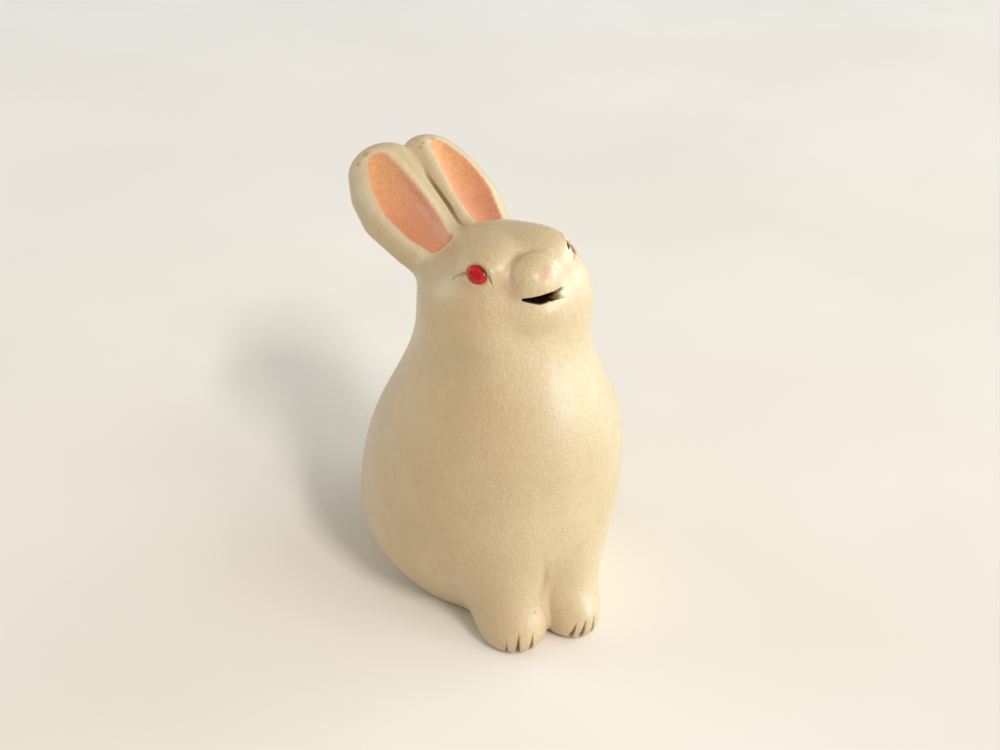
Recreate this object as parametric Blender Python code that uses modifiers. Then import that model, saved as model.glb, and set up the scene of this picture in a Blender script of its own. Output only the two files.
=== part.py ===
"""A ceramic rabbit, sitting up with its head raised and its ears laid back side by side.

It is one hand-modelled piece: pear-shaped body, two forelegs pressed together in front, a round tail,
a head turned a little to its left, and two long ears that touch along their inner edges. The eyes are
pressed pits, the mouth is a slit and each paw has three lines drawn in it for the toes.

The rabbit faces -Y and stands with its flat underside on Z 0. X 0 and Y 0 are the middle of its width
and of its length.
"""

import bmesh
import bpy
import numpy as np
from mathutils import Euler, Vector

# The figure's height from the table to the ear tips, in metres.
HEIGHT = 0.0870
# The form is drawn in steps of the height, so that one step is 1 mm on the real figure. Its own Y 0 is
# under the neck, this many steps in front of the middle of the figure's length.
STEPS_TALL = 87.0
STEP = HEIGHT / STEPS_TALL
NECK_FORWARD = 10.5

# From here on every length is in steps and every angle in degrees.
# The body from the table up: half its width, then how far it reaches to the front and to the back.
BODY_STATION = 8.0
BODY_HALF_WIDTH = (19.0, 25.9, 27.6, 27.3, 26.5, 25.1, 22.2, 18.2, 16.2, 15.6, 14.0)
BODY_FRONT = (-10.8, -15.0, -18.0, -20.2, -21.8, -22.6, -21.4, -18.0, -15.0, -13.0, -11.0)
BODY_BACK = (29.5, 37.0, 39.2, 38.5, 35.5, 31.0, 25.5, 21.0, 18.0, 15.5, 12.0)
BODY_TOP, BODY_TOP_ROUNDING = 74.0, 6.0
FOOT_ROUNDING = 2.0

# The forelegs meet a little to the rabbit's left of the middle, and its right paw is the wider one.
LEG_MEETING_X = 1.6
LEG_TOP_Z, LEG_TOP_Y, LEG_TOP_RADIUS, LEG_TOP_SPREAD = 26.0, -9.8, 9.4, -1.0
ANKLE_Z, ANKLE_Y, ANKLE_SWELL = 6.0, -16.3, 0.3
PAW_Y, PAW_Z, PAW_REACH, PAW_RISE = -18.3, 3.4, 6.8, 5.6
PAW_SPLAY = 13.0
# How far the clay is smoothed into the corner between paw and leg, and between legs and chest.
PAW_BLEND, CHEST_BLEND = 6.0, 12.0
# The groove between the legs is sharp up to its start and has faded out at its end.
GROOVE_SHARP, GROOVE_FADED = 0.8, 9.0
GROOVE_START_Z, GROOVE_END_Z = 9.0, 21.0
RIGHT_PAW = {"side": -1, "offset": 6.3, "half_width": 6.4}
LEFT_PAW = {"side": 1, "offset": 5.9, "half_width": 5.6}
TOE_LINE_LONG, TOE_LINE_DEEP, TOE_LINE_WIDE = 3.1, 1.1, 0.62
TOE_SPREAD, TOE_LINE_PITCH = 27.0, 12.0

TAIL_CENTRE, TAIL_RADIUS, TAIL_BLEND = (0.0, 38.0, 8.0), 5.0, 3.0

# The head turns to the rabbit's left, fading out down the neck.
HEAD_TURN = 9.0
TURN_AXIS_Y = -2.0
NECK_Z, HEAD_Z = 45.0, 73.0
NECK_BLEND = 8.0
# The masses of the head: centre, half sizes, and how softly each joins the ones before it. The skull and
# the brows tip forward. Cheeks and brows are pairs, given for the left side.
SKULL_CENTRE, SKULL_RADII, SKULL_TIP = (1.1, 3.5, 71.3), (13.5, 15.0, 11.0), 12.0
CHEEK_CENTRE, CHEEK_RADII, CHEEK_BLEND = (6.7, -3.0, 68.5), (8.8, 9.8, 9.0), 7.0
BROW_CENTRE, BROW_RADII, BROW_BLEND = (5.6, -4.0, 78.4), (5.6, 6.4, 4.6), 8.0
LIP_CENTRE, LIP_RADII, LIP_BLEND = (0.0, -10.3, 72.2), (6.4, 5.3, 3.7), 3.5
SNOUT_CENTRE, SNOUT_RADII, SNOUT_BLEND = (-0.2, -10.4, 77.8), (5.3, 5.2, 4.5), 2.2
FACE_MIDDLE_ROUNDING = 1.5
# The left eye sits further round the head than the right one.
EYE_CENTRES, EYE_RADIUS = {"right": (-10.5, -8.4, 80.1), "left": (11.7, -7.2, 80.5)}, 1.9
MOUTH_CENTRE, MOUTH_HALF_LENGTH = (0.2, -15.2, 75.5), 4.6
MOUTH_HALF_HEIGHT, MOUTH_DEEP, MOUTH_BOW, MOUTH_SMILE = 0.9, 1.9, 1.3, 0.4

# An ear rises from the back of the head, splays outwards and leans its hollow out to its own side.
EAR_ROOT = (5.0, 12.0, 73.0)
EARS_MEETING_X = -0.9
EAR_RISE, EAR_SPLAY, EAR_LEAN = 17.0, 5.0, 20.0
# Along the ear from its root: how far along, how far outwards, and half its width there.
EAR_SHAPE = ((-4.0, 0.0, 5.6), (8.0, 0.4, 7.6), (17.0, 0.6, 8.6), (22.5, -0.2, 8.5), (27.5, -1.4, 7.6))
EAR_FLATTENING = 1.6
# The hollow in its upper face is pointed at the tip and round at the root. In the left ear it lies further in.
HOLLOW_SHAPE = ((2.2, 0.5, 3.4), (7.0, 0.7, 4.4), (14.0, 0.8, 4.75), (21.0, 0.2, 4.0), (27.5, -0.9, 2.8))
HOLLOW_ABOVE, HOLLOW_FLATTENING, LEFT_HOLLOW_SHIFT = 6.3, 1.1, -2.1
EAR_RIM_ROUNDING, EARS_MEETING_ROUNDING, EAR_BLEND = 1.2, 0.25, 4.0

# How finely the clay is divided while it is shaped, and how many triangles are left at the end.
ROUGH_GRAIN, FINE_GRAIN = 1.6, 0.75
LONGEST_PULL = 0.8
TABLE_LAYER = 0.05
TRIANGLES_KEPT = 9400


def own_axes(pitch=0.0, yaw=0.0, roll=0.0):
    """Rows are a mass's own directions. Pitch lifts its front, yaw turns it left, roll leans it."""
    return np.array(Euler(np.radians((-pitch, roll, yaw)), "YXZ").to_matrix()).T


def ellipsoid(p, centre, radii, **turned):
    """About the distance from the points p to an ellipsoid, negative inside it."""
    q = (p - np.array(centre)) @ own_axes(**turned).T
    share = np.linalg.norm(q / radii, axis=1)
    steepness = np.linalg.norm(q / np.square(radii), axis=1)
    return share * (share - 1) / np.maximum(steepness, 1e-9)


def round_cone(p, start, end, start_radius, end_radius):
    """The distance to a cone with round ends."""
    start, end = np.array(start, float), np.array(end, float)
    length = np.linalg.norm(end - start)
    along = (p - start) @ (end - start) / length
    aside = np.sqrt(np.maximum(np.square(p - start).sum(axis=1) - along**2, 0))
    slope = (start_radius - end_radius) / length
    share = np.clip((along - aside * slope / np.sqrt(1 - slope**2)) / length, 0, 1)
    return np.hypot(along - share * length, aside) - (start_radius + (end_radius - start_radius) * share)


def join(first, second, softness):
    """Both masses as one, with the clay smoothed into the corner between them."""
    overlap = np.maximum(softness - np.abs(first - second), 0) / softness
    return np.minimum(first, second) - overlap**3 * softness / 6


def cut(mass, tool, softness):
    """What is left of a mass outside the tool, with the edge smoothed over."""
    return -join(-mass, tool, softness)


def smooth_step(share):
    share = np.clip(share, 0, 1)
    return share * share * (3 - 2 * share)


def smooth_row(values, place):
    """A cubic B-spline through the neighbourhood of evenly spaced values. Place counts the spaces."""
    place = np.clip(place, 0, len(values) - 1.001)
    first = place.astype(int)
    f = place - first
    row = np.array((2 * values[0] - values[1], *values, 2 * values[-1] - values[-2]))
    weights = ((1 - f) ** 3, 3 * f**3 - 6 * f**2 + 4, -3 * f**3 + 3 * f**2 + 3 * f + 1, f**3)
    return sum(weight * row[first + k] for k, weight in enumerate(weights)) / 6


def mirrored(p, rounding, middle=0.0):
    """Points folded onto the rabbit's left, to shape both sides at once. The fold itself is rounded."""
    return np.stack([np.hypot(p[:, 0] - middle, rounding), p[:, 1], p[:, 2]], axis=1)


def body(p):
    """A pear of oval slices, wide and deep at the haunches and narrow at the neck."""
    place = p[:, 2] / BODY_STATION
    wide, front, back = (smooth_row(row, place) for row in (BODY_HALF_WIDTH, BODY_FRONT, BODY_BACK))
    deep = (back - front) / 2
    x, y = p[:, 0] / wide, (p[:, 1] - (front + back) / 2) / deep
    share = np.hypot(x, y)
    side = 0.9 * share * (share - 1) / np.maximum(np.hypot(x / wide, y / deep), 1e-9)
    return cut(side, BODY_TOP - p[:, 2], BODY_TOP_ROUNDING)


def foreleg(p, side, offset, half_width):
    x = LEG_MEETING_X + side * offset
    top = (x + side * LEG_TOP_SPREAD, LEG_TOP_Y, LEG_TOP_Z)
    shank = round_cone(p, top, (x, ANKLE_Y, ANKLE_Z), LEG_TOP_RADIUS, half_width + ANKLE_SWELL)
    paw = ellipsoid(p, (x, PAW_Y, PAW_Z), (half_width, PAW_REACH, PAW_RISE), yaw=PAW_SPLAY * side)
    return join(shank, paw, PAW_BLEND)


def straight_ahead(p):
    """Points carried back to where they would be if the head looked straight ahead."""
    angle = np.radians(HEAD_TURN) * smooth_step((p[:, 2] - NECK_Z) / (HEAD_Z - NECK_Z))
    x, y = p[:, 0], p[:, 1] - TURN_AXIS_Y
    turned_x = np.cos(angle) * x + np.sin(angle) * y
    turned_y = np.cos(angle) * y - np.sin(angle) * x + TURN_AXIS_Y
    return np.stack([turned_x, turned_y, p[:, 2]], axis=1)


def turned_with_head(point):
    """Where a point of the head that looks straight ahead comes to lie on the turned head."""
    angle = np.radians(HEAD_TURN)
    x, y = point[0], point[1] - TURN_AXIS_Y
    return Vector((np.cos(angle) * x - np.sin(angle) * y,
                   np.sin(angle) * x + np.cos(angle) * y + TURN_AXIS_Y, point[2]))


def head(h):
    """Skull, cheeks, brows, lower lip and the round snout."""
    both = mirrored(h, FACE_MIDDLE_ROUNDING)
    mass = ellipsoid(h, SKULL_CENTRE, SKULL_RADII, pitch=SKULL_TIP)
    mass = join(mass, ellipsoid(both, CHEEK_CENTRE, CHEEK_RADII), CHEEK_BLEND)
    mass = join(mass, ellipsoid(both, BROW_CENTRE, BROW_RADII, pitch=SKULL_TIP), BROW_BLEND)
    mass = join(mass, ellipsoid(h, LIP_CENTRE, LIP_RADII), LIP_BLEND)
    return join(mass, ellipsoid(h, SNOUT_CENTRE, SNOUT_RADII), SNOUT_BLEND)


def ear_axes():
    """The left ear's directions: outwards across it, along it to the tip, and up out of its hollow."""
    rise, splay, lean = np.radians((EAR_RISE, EAR_SPLAY, EAR_LEAN))
    along = np.array([np.sin(splay) * np.cos(rise), np.cos(splay) * np.cos(rise), np.sin(rise)])
    up = np.array([np.sin(lean), 0, np.cos(lean)])
    up -= along * (up @ along)
    up /= np.linalg.norm(up)
    return np.stack([np.cross(along, up), along, up])


def leaf(flat, shape):
    """A row of round cones, each from one place of the shape to the next."""
    distance = np.full(len(flat), np.inf)
    for (start, start_out, start_radius), (end, end_out, end_radius) in zip(shape, shape[1:]):
        length = round_cone(flat, (start_out, start, 0), (end_out, end, 0), start_radius, end_radius)
        distance = np.minimum(distance, length)
    return distance


def on_ear(h):
    """Points in the nearer ear's own directions, counted from its root."""
    folded = mirrored(h, EARS_MEETING_ROUNDING, EARS_MEETING_X)
    return (folded - np.array(EAR_ROOT)) @ ear_axes().T


def ear(q):
    """A flattened blade, widest past its middle."""
    return 0.8 * leaf(q * (1, 1, EAR_FLATTENING), EAR_SHAPE)


def ear_hollow(q, h):
    """The scoop that leaves the ear's long hollow, down to where it meets the head."""
    shift = np.where(h[:, 0] > EARS_MEETING_X, LEFT_HOLLOW_SHIFT, 0.0)
    away = q - np.stack([shift, np.zeros(len(q)), np.full(len(q), HOLLOW_ABOVE)], axis=1)
    return leaf(away * (1, 1, HOLLOW_FLATTENING), HOLLOW_SHAPE)


def rabbit_form(p):
    """The whole figure, before its eyes, mouth and toes are pressed in."""
    h = straight_ahead(p)
    q = on_ear(h)
    fade = smooth_step((p[:, 2] - GROOVE_START_Z) / (GROOVE_END_Z - GROOVE_START_Z))
    groove = GROOVE_SHARP + (GROOVE_FADED - GROOVE_SHARP) * fade
    legs = join(foreleg(p, **RIGHT_PAW), foreleg(p, **LEFT_PAW), groove)
    mass = join(body(h), legs, CHEST_BLEND)
    mass = join(mass, ellipsoid(p, TAIL_CENTRE, (TAIL_RADIUS,) * 3), TAIL_BLEND)
    mass = join(mass, head(h), NECK_BLEND)
    mass = join(mass, ear(q), EAR_BLEND)
    mass = cut(mass, ear_hollow(q, h), EAR_RIM_ROUNDING)
    return cut(mass, p[:, 2], FOOT_ROUNDING)


def form_gradient(p, reach=0.05):
    """Which way the distance grows, and how fast, at each point."""
    steps = reach * np.eye(3)
    return np.stack([rabbit_form(p + s) - rabbit_form(p - s) for s in steps], axis=1) / (2 * reach)


def pull_onto_form(obj, rounds):
    """Moves each vertex straight to the form's surface."""
    points = np.empty(3 * len(obj.data.vertices))
    obj.data.vertices.foreach_get("co", points)
    points = points.reshape(-1, 3) / STEP
    for _ in range(rounds):
        gradient = form_gradient(points)
        pull = rabbit_form(points) / np.maximum(np.square(gradient).sum(axis=1), 0.1)
        points -= gradient * np.clip(pull, -LONGEST_PULL, LONGEST_PULL)[:, None]
    obj.data.vertices.foreach_set("co", (points * STEP).ravel())
    obj.data.update()


def clear_scene():
    for obj in list(bpy.data.objects):
        bpy.data.objects.remove(obj)


def collection(name):
    made = bpy.data.collections.new(name)
    bpy.context.scene.collection.children.link(made)
    return made


def new_object(name, bm, home, stand):
    mesh = bpy.data.meshes.new(name)
    bm.to_mesh(mesh)
    bm.free()
    obj = bpy.data.objects.new(name, mesh)
    obj.parent = stand
    home.objects.link(obj)
    return obj


def neck_stand(home):
    """An empty under the neck, where the form's own steps are counted from."""
    stand = bpy.data.objects.new("under_neck", None)
    stand.location.y = -NECK_FORWARD * STEP
    home.objects.link(stand)
    return stand


def add_ball(bm, centre, radii, divisions=3):
    """An ellipsoid of clay, in steps."""
    made = bmesh.ops.create_icosphere(bm, subdivisions=divisions, radius=1.0)["verts"]
    for vertex in made:
        vertex.co = STEP * (Vector(centre) + Vector(c * r for c, r in zip(vertex.co, radii)))


def lump(home, stand):
    """The clay before it is shaped: overlapping balls where the body, head, ears, legs and tail go."""
    bm = bmesh.new()
    add_ball(bm, (0, 9, 22), (25, 27, 22))
    add_ball(bm, (0, 3, 45), (19, 19, 24))
    add_ball(bm, (0, 0, 72), (13, 14, 9))
    add_ball(bm, TAIL_CENTRE, (TAIL_RADIUS,) * 3)
    for side in (-1, 1):
        add_ball(bm, (6.0 * side + LEG_MEETING_X, -15, 9), (5.5, 7, 9))
        for far, out, radius in EAR_SHAPE:
            x, y, z = np.array(EAR_ROOT) + far * ear_axes()[1]
            place = turned_with_head((EARS_MEETING_X + side * x, y, z))
            add_ball(bm, place, (radius, radius, radius / EAR_FLATTENING))
    return new_object("rabbit", bm, home, stand)


def apply_modifiers(obj):
    """Gives the object the mesh that its modifiers make, and clears them."""
    graph = bpy.context.evaluated_depsgraph_get()
    shaped = bpy.data.meshes.new_from_object(obj.evaluated_get(graph))
    obj.modifiers.clear()
    obj.data = shaped


def regrain(obj, grain):
    """Divides the surface evenly, whatever shape it has been pulled into, and rubs it smooth."""
    remesh = obj.modifiers.new("even grain", "REMESH")
    remesh.mode = "VOXEL"
    remesh.voxel_size = grain * STEP
    smooth = obj.modifiers.new("rubbed smooth", "SMOOTH")
    smooth.iterations = 3
    apply_modifiers(obj)


def thin_out(obj):
    """Keeps small triangles where the form bends and large ones where it is plain."""
    triangles = sum(len(face.vertices) - 2 for face in obj.data.polygons)
    decimate = obj.modifiers.new("plain areas coarser", "DECIMATE")
    decimate.ratio = TRIANGLES_KEPT / triangles
    apply_modifiers(obj)


def lay_flat(obj):
    """Presses the underside flat, as the table does while the clay is soft."""
    for vertex in obj.data.vertices:
        if vertex.co.z < TABLE_LAYER * STEP:
            vertex.co.z = 0.0


def presser(name, centre, radii, turn, place, ends_back=0.0, ends_up=0.0):
    """A small rounded tool, as it is pressed into the clay. Its ends may be bent back and up."""
    bm = bmesh.new()
    bmesh.ops.create_uvsphere(bm, u_segments=14, v_segments=9, radius=1.0)
    for vertex in bm.verts:
        bend = vertex.co.x**2
        vertex.co = Vector(c * r for c, r in zip(vertex.co, radii))
        vertex.co = STEP * (vertex.co + bend * Vector((0, ends_back, ends_up)))
    tool = new_object(name, bm, *place)
    tool.location = Vector(centre) * STEP
    tool.rotation_euler = Euler(np.radians(turn))
    tool.display_type = "WIRE"
    tool.hide_render = True


def eye_pressers(place):
    for side, centre in EYE_CENTRES.items():
        presser(f"{side}_eye_tool", turned_with_head(centre), (EYE_RADIUS,) * 3, (0, 0, 0), place)


def mouth_presser(place):
    """The mouth's slit runs round under the snout, with its corners back and up."""
    radii = (MOUTH_HALF_LENGTH, MOUTH_DEEP, MOUTH_HALF_HEIGHT)
    presser("mouth_tool", turned_with_head(MOUTH_CENTRE), radii, (0, 0, HEAD_TURN), place,
            ends_back=MOUTH_BOW, ends_up=MOUTH_SMILE)


def toe_pressers(place):
    """Three upright lines in the front of each paw part its four toes."""
    for paw in (RIGHT_PAW, LEFT_PAW):
        x = LEG_MEETING_X + paw["side"] * paw["offset"]
        for k in (-1, 0, 1):
            turn = np.radians(k * TOE_SPREAD + paw["side"] * PAW_SPLAY)
            centre = (x + paw["half_width"] * np.sin(turn), PAW_Y - PAW_REACH * np.cos(turn), PAW_Z)
            radii = (TOE_LINE_WIDE / 2, TOE_LINE_DEEP, TOE_LINE_LONG)
            name = f"toe_tool_{'right' if paw['side'] < 0 else 'left'}_{k + 2}"
            presser(name, centre, radii, (-TOE_LINE_PITCH, 0, np.degrees(turn)), place)


def press_in(obj, tools):
    """The tools leave their shapes in the clay."""
    press = obj.modifiers.new("eyes, mouth and toes", "BOOLEAN")
    press.operation = "DIFFERENCE"
    press.operand_type = "COLLECTION"
    press.collection = tools
    apply_modifiers(obj)


def glaze():
    """Cream glaze over white clay, satin where it is thin."""
    material = bpy.data.materials.new("cream_glaze")
    material.use_nodes = True
    shader = material.node_tree.nodes["Principled BSDF"]
    shader.inputs["Base Color"].default_value = (0.74, 0.63, 0.44, 1.0)
    shader.inputs["Roughness"].default_value = 0.38
    shader.inputs["Metallic"].default_value = 0.0
    return material


def main():
    clear_scene()
    parts = collection("ceramic_rabbit")
    tools = collection("modelling_tools")
    stand = neck_stand(parts)
    rabbit = lump(parts, stand)
    for grain, rounds in ((ROUGH_GRAIN, 8), (ROUGH_GRAIN, 5), (FINE_GRAIN, 5)):
        regrain(rabbit, grain)
        pull_onto_form(rabbit, rounds)
    for make_tools in (eye_pressers, mouth_presser, toe_pressers):
        make_tools((tools, stand))
    press_in(rabbit, tools)
    thin_out(rabbit)
    lay_flat(rabbit)
    rabbit.data.materials.append(glaze())
    rabbit.data.shade_smooth()


main()
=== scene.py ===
import bmesh
import bpy
import numpy as np
from mathutils import Euler, Matrix, Quaternion, Vector, noise


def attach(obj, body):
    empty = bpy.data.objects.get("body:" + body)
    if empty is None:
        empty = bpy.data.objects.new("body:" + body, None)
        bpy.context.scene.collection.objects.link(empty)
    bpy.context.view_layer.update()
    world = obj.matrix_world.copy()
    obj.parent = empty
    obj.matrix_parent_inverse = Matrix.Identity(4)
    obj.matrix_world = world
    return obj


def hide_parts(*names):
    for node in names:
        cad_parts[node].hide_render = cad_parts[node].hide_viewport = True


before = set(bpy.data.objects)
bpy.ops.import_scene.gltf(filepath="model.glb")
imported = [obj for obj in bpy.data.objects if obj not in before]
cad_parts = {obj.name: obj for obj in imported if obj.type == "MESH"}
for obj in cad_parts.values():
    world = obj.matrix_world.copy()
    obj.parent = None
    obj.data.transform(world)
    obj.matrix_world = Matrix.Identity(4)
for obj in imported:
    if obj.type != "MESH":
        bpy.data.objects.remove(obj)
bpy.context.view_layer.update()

# The photographer's place
#
# The rabbit is seen from in front and a little from its right, from well above. The camera is placed by
# the point of the table between the paws, which is this many pixels across and down the picture.
CAMERA_AZIMUTH, CAMERA_ELEVATION = -20.0, 31.0
PICTURE_WIDE, PICTURE_HIGH = 1000, 750
FOCAL_PIXELS = 1500.0
SENSOR_MM = 36.0
BETWEEN_PAWS = Vector((0.0, -0.0350, 0.0008))
BETWEEN_PAWS_PIXEL = (546.5, 646.0)
BETWEEN_PAWS_DEPTH = 0.305

turn, rise = np.radians((CAMERA_AZIMUTH, CAMERA_ELEVATION))
towards_camera = Vector((np.sin(turn) * np.cos(rise), -np.cos(turn) * np.cos(rise), np.sin(rise)))
camera_right = Vector((np.cos(turn), np.sin(turn), 0.0))
camera_up = towards_camera.cross(camera_right)
across = (BETWEEN_PAWS_PIXEL[0] - PICTURE_WIDE / 2) / FOCAL_PIXELS * BETWEEN_PAWS_DEPTH
upwards = (PICTURE_HIGH / 2 - BETWEEN_PAWS_PIXEL[1]) / FOCAL_PIXELS * BETWEEN_PAWS_DEPTH
camera_data = bpy.data.cameras.new("photographer")
camera_data.sensor_width = SENSOR_MM
camera_data.lens = SENSOR_MM * FOCAL_PIXELS / PICTURE_WIDE
camera_data.clip_start = 0.01
camera = bpy.data.objects.new("photographer", camera_data)
camera.location = (BETWEEN_PAWS + towards_camera * BETWEEN_PAWS_DEPTH
                   - camera_right * across - camera_up * upwards)
camera.rotation_euler = Matrix((camera_right, camera_up, towards_camera)).transposed().to_euler()
bpy.context.scene.collection.objects.link(camera)
bpy.context.scene.camera = camera

# The clay
#
# The rabbit is one piece of white clay: a pear-shaped body, forelegs laid against the chest, a head with
# round cheeks and snout, and two ears like flattened leaves with a long hollow in each. Its surface is
# rubbed smooth while wet. It starts as the frame's own solid and is shaped again more finely.
#
# Lengths are in mm. The form's own Y 0 is under the neck, this far in front of the figure's middle.
MM = 0.001
NECK_FORWARD = 10.5

# The body from the table up: half its width, then how far it reaches to the front and to the back.
BODY_STATION = 8.0
BODY_HALF_WIDTH = (19.0, 25.9, 27.6, 27.3, 26.5, 25.1, 22.2, 18.2, 16.2, 15.6, 14.0)
BODY_FRONT = (-10.8, -15.0, -18.0, -20.2, -21.8, -22.6, -21.4, -18.0, -15.0, -13.0, -11.0)
BODY_BACK = (29.5, 37.0, 39.2, 38.5, 35.5, 31.0, 25.5, 21.0, 18.0, 15.5, 12.0)
BODY_TOP, BODY_TOP_ROUNDING = 74.0, 6.0
FOOT_ROUNDING = 2.0

LEG_MEETING_X = 1.6
LEG_TOP_Z, LEG_TOP_Y, LEG_TOP_RADIUS, LEG_TOP_SPREAD = 26.0, -9.8, 9.4, -1.0
ANKLE_Z, ANKLE_Y, ANKLE_SWELL = 6.0, -16.3, 0.3
PAW_Y, PAW_Z, PAW_REACH, PAW_RISE = -18.3, 3.4, 6.8, 5.6
PAW_SPLAY = 13.0
PAW_BLEND, CHEST_BLEND = 6.0, 12.0
# The groove between the legs is sharp up to its start and has faded out at its end.
GROOVE_SHARP, GROOVE_FADED = 0.8, 9.0
GROOVE_START_Z, GROOVE_END_Z = 9.0, 21.0
RIGHT_PAW = {"side": -1, "offset": 6.3, "half_width": 6.4}
LEFT_PAW = {"side": 1, "offset": 5.9, "half_width": 5.6}

TAIL_CENTRE, TAIL_RADIUS, TAIL_BLEND = (0.0, 38.0, 8.0), 5.0, 3.0

# The head turns to the rabbit's left, fading out down the neck. Its masses: centre, half sizes, and how
# softly each joins the ones before it.
HEAD_TURN = 9.0
TURN_AXIS_Y = -2.0
NECK_Z, HEAD_Z = 45.0, 73.0
NECK_BLEND = 8.0
SKULL_CENTRE, SKULL_RADII, SKULL_TIP = (1.1, 3.5, 71.3), (13.5, 15.0, 11.0), 12.0
CHEEK_CENTRE, CHEEK_RADII, CHEEK_BLEND = (6.7, -3.0, 68.5), (8.8, 9.8, 9.0), 7.0
BROW_CENTRE, BROW_RADII, BROW_BLEND = (5.6, -4.0, 78.4), (5.6, 6.4, 4.6), 8.0
LIP_CENTRE, LIP_RADII, LIP_BLEND = (0.0, -10.3, 72.2), (6.4, 5.3, 3.7), 3.5
SNOUT_CENTRE, SNOUT_RADII, SNOUT_BLEND = (-0.2, -10.4, 77.8), (5.3, 5.2, 4.5), 2.2
FACE_MIDDLE_ROUNDING = 1.5

# An ear rises from the back of the head, splays outwards and leans its hollow out to its own side. Its
# shape is how far along from its root, how far outwards, and half its width there.
EAR_ROOT = (5.0, 12.0, 73.0)
EARS_MEETING_X = -0.9
EAR_RISE, EAR_SPLAY, EAR_LEAN = 17.0, 5.0, 20.0
EAR_SHAPE = ((-4.0, 0.0, 5.6), (8.0, 0.4, 7.6), (17.0, 0.6, 8.6), (22.5, -0.2, 8.5), (27.5, -1.4, 7.6))
EAR_FLATTENING = 1.6
# The hollow in its upper face is pointed at the tip and round at the root. In the left ear it lies
# further in.
HOLLOW_SHAPE = ((2.2, 0.5, 3.4), (7.0, 0.7, 4.4), (14.0, 0.8, 4.75), (21.0, 0.2, 4.0), (27.5, -0.9, 2.8))
HOLLOW_ABOVE, HOLLOW_FLATTENING, LEFT_HOLLOW_SHIFT = 6.3, 1.1, -2.1
EAR_RIM_ROUNDING, EARS_MEETING_ROUNDING, EAR_BLEND = 1.2, 0.25, 4.0

# A stretched mass gives too long a distance, so it is cut to this share.
BODY_DISTANCE_SHARE, EAR_DISTANCE_SHARE = 0.9, 0.8


def own_axes(pitch=0.0, yaw=0.0):
    """Rows are a mass's own directions. Pitch lifts its front and yaw turns it left."""
    return np.array(Euler(np.radians((-pitch, 0.0, yaw)), "YXZ").to_matrix()).T


def ellipsoid(p, centre, radii, **turned):
    """About the distance from the points p to an ellipsoid, negative inside it."""
    q = (p - np.array(centre)) @ own_axes(**turned).T
    share = np.linalg.norm(q / radii, axis=1)
    steepness = np.linalg.norm(q / np.square(radii), axis=1)
    return share * (share - 1) / np.maximum(steepness, 1e-9)


def round_cone(p, start, end, start_radius, end_radius):
    """The distance to a cone with round ends."""
    start, end = np.array(start, float), np.array(end, float)
    length = np.linalg.norm(end - start)
    along = (p - start) @ (end - start) / length
    aside = np.sqrt(np.maximum(np.square(p - start).sum(axis=1) - along**2, 0))
    slope = (start_radius - end_radius) / length
    share = np.clip((along - aside * slope / np.sqrt(1 - slope**2)) / length, 0, 1)
    return np.hypot(along - share * length, aside) - (start_radius + (end_radius - start_radius) * share)


def join(first, second, softness):
    """Both masses as one, with the clay smoothed into the corner between them."""
    overlap = np.maximum(softness - np.abs(first - second), 0) / softness
    return np.minimum(first, second) - overlap**3 * softness / 6


def cut(mass, tool, softness):
    """What is left of a mass outside the tool, with the edge smoothed over."""
    return -join(-mass, tool, softness)


def smooth_step(share):
    share = np.clip(share, 0, 1)
    return share * share * (3 - 2 * share)


def smooth_row(values, place):
    """A cubic B-spline through the neighbourhood of evenly spaced values. Place counts the spaces."""
    place = np.clip(place, 0, len(values) - 1.001)
    first = place.astype(int)
    f = place - first
    row = np.array((2 * values[0] - values[1], *values, 2 * values[-1] - values[-2]))
    weights = ((1 - f) ** 3, 3 * f**3 - 6 * f**2 + 4, -3 * f**3 + 3 * f**2 + 3 * f + 1, f**3)
    return sum(weight * row[first + k] for k, weight in enumerate(weights)) / 6


def mirrored(p, rounding, middle=0.0):
    """Points folded onto the rabbit's left, to shape both sides at once. The fold itself is rounded."""
    return np.stack([np.hypot(p[:, 0] - middle, rounding), p[:, 1], p[:, 2]], axis=1)


def body(p):
    """A pear of oval slices, wide and deep at the haunches and narrow at the neck."""
    place = p[:, 2] / BODY_STATION
    wide, front, back = (smooth_row(row, place) for row in (BODY_HALF_WIDTH, BODY_FRONT, BODY_BACK))
    deep = (back - front) / 2
    x, y = p[:, 0] / wide, (p[:, 1] - (front + back) / 2) / deep
    share = np.hypot(x, y)
    side = share * (share - 1) / np.maximum(np.hypot(x / wide, y / deep), 1e-9)
    return cut(BODY_DISTANCE_SHARE * side, BODY_TOP - p[:, 2], BODY_TOP_ROUNDING)


def foreleg(p, side, offset, half_width):
    x = LEG_MEETING_X + side * offset
    top = (x + side * LEG_TOP_SPREAD, LEG_TOP_Y, LEG_TOP_Z)
    shank = round_cone(p, top, (x, ANKLE_Y, ANKLE_Z), LEG_TOP_RADIUS, half_width + ANKLE_SWELL)
    paw = ellipsoid(p, (x, PAW_Y, PAW_Z), (half_width, PAW_REACH, PAW_RISE), yaw=PAW_SPLAY * side)
    return join(shank, paw, PAW_BLEND)


def straight_ahead(p):
    """Points carried back to where they would be if the head looked straight ahead."""
    angle = np.radians(HEAD_TURN) * smooth_step((p[:, 2] - NECK_Z) / (HEAD_Z - NECK_Z))
    x, y = p[:, 0], p[:, 1] - TURN_AXIS_Y
    turned_x = np.cos(angle) * x + np.sin(angle) * y
    turned_y = np.cos(angle) * y - np.sin(angle) * x + TURN_AXIS_Y
    return np.stack([turned_x, turned_y, p[:, 2]], axis=1)


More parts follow.
